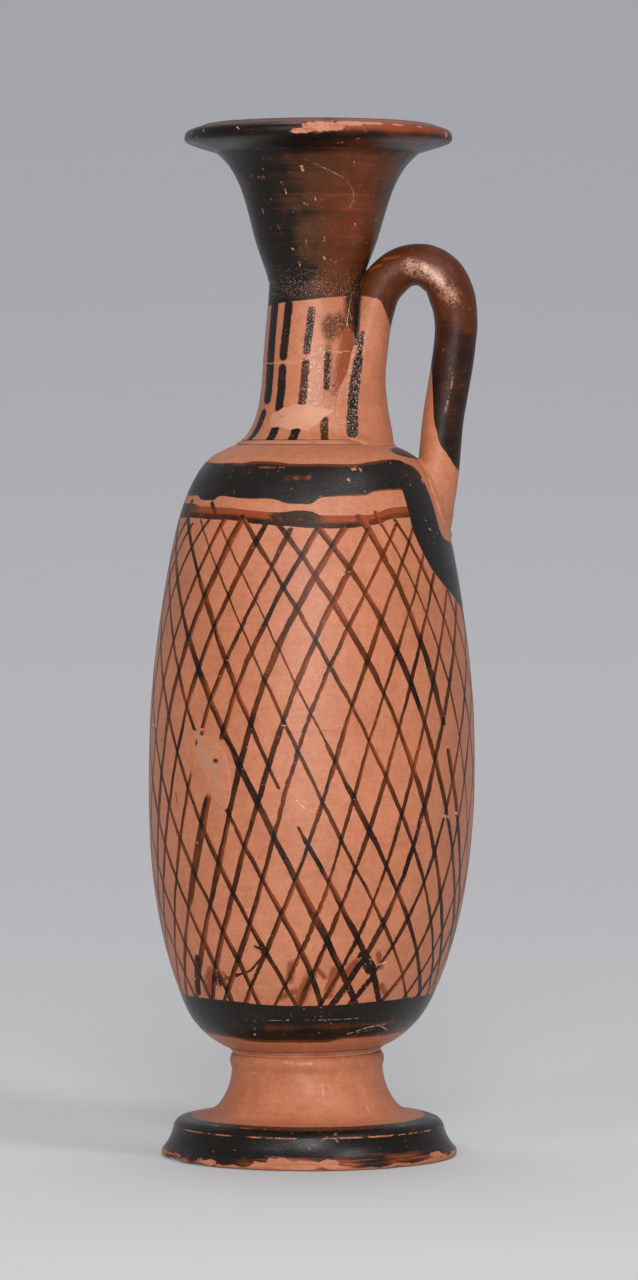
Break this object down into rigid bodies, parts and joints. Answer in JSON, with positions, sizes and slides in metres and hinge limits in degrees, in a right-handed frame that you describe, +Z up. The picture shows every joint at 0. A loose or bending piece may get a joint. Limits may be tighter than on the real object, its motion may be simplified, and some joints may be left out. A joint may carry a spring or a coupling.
{
  "type": "lekythos oil flask",
  "caption": "Slim ceramic oil flask with a flared funnel mouth, narrow neck, looped side handle, tall oval body painted with a net, and a stemmed disc foot.",
  "frame": {"origin": "on the ground at the centre of the foot's rest ring, on the axis of the pot", "axes": "+Z up along the axis of the pot, +X towards the handle, -Y towards the viewer of the picture"},
  "size_m": [0.0568, 0.0568, 0.18],
  "materials": {
    "black_gloss": "brown-black fired slip, glossy and worn",
    "clay": "orange fired clay, burnished, with a painted net",
    "slip": "matte luting slip",
    "plaster": "matte toned plaster"
  },
  "bodies": {
    "root": {"mouth": "black_gloss", "neck": "clay", "handle": "black_gloss", "shoulder": "clay", "belly": "clay", "foot": "black_gloss", "mouth_luting": "slip", "neck_luting": "slip", "belly_luting": "slip", "foot_luting": "slip", "handle_top_luting": "slip", "handle_bottom_luting": "slip", "neck_fill": "plaster", "belly_fill": "plaster"}
  },
  "joints": []
}
